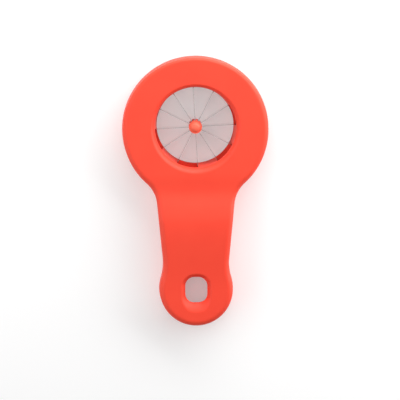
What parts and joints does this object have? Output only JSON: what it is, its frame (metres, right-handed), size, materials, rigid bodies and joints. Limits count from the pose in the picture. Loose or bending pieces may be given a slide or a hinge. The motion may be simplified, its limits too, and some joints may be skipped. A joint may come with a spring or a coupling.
{
  "type": "vegetable chopper",
  "caption": "Palm-sized hand cutter: a ring head holding a star of radial blades that meet at a small domed hub, on a short humped handle with a hanging slot.",
  "frame": {"origin": "middle of the part's outline, on the flat rest face", "axes": "+Y along the handle towards the ring head, +Z out of the front face, +X to the right seen from the front"},
  "size_m": [0.065, 0.1208, 0.0148],
  "materials": {
    "moulded_plastic": "satin",
    "blade_steel": "brushed"
  },
  "bodies": {
    "root": {"front_shell": "moulded_plastic", "rear_shell": "moulded_plastic", "blade_carrier": "moulded_plastic", "hub_core": "moulded_plastic", "hub_cap": "moulded_plastic", "blade_01": "blade_steel", "blade_02": "blade_steel", "blade_03": "blade_steel", "blade_04": "blade_steel", "blade_05": "blade_steel", "blade_06": "blade_steel", "blade_07": "blade_steel", "blade_08": "blade_steel", "blade_09": "blade_steel", "blade_10": "blade_steel", "blade_11": "blade_steel", "blade_12": "blade_steel"}
  },
  "joints": []
}
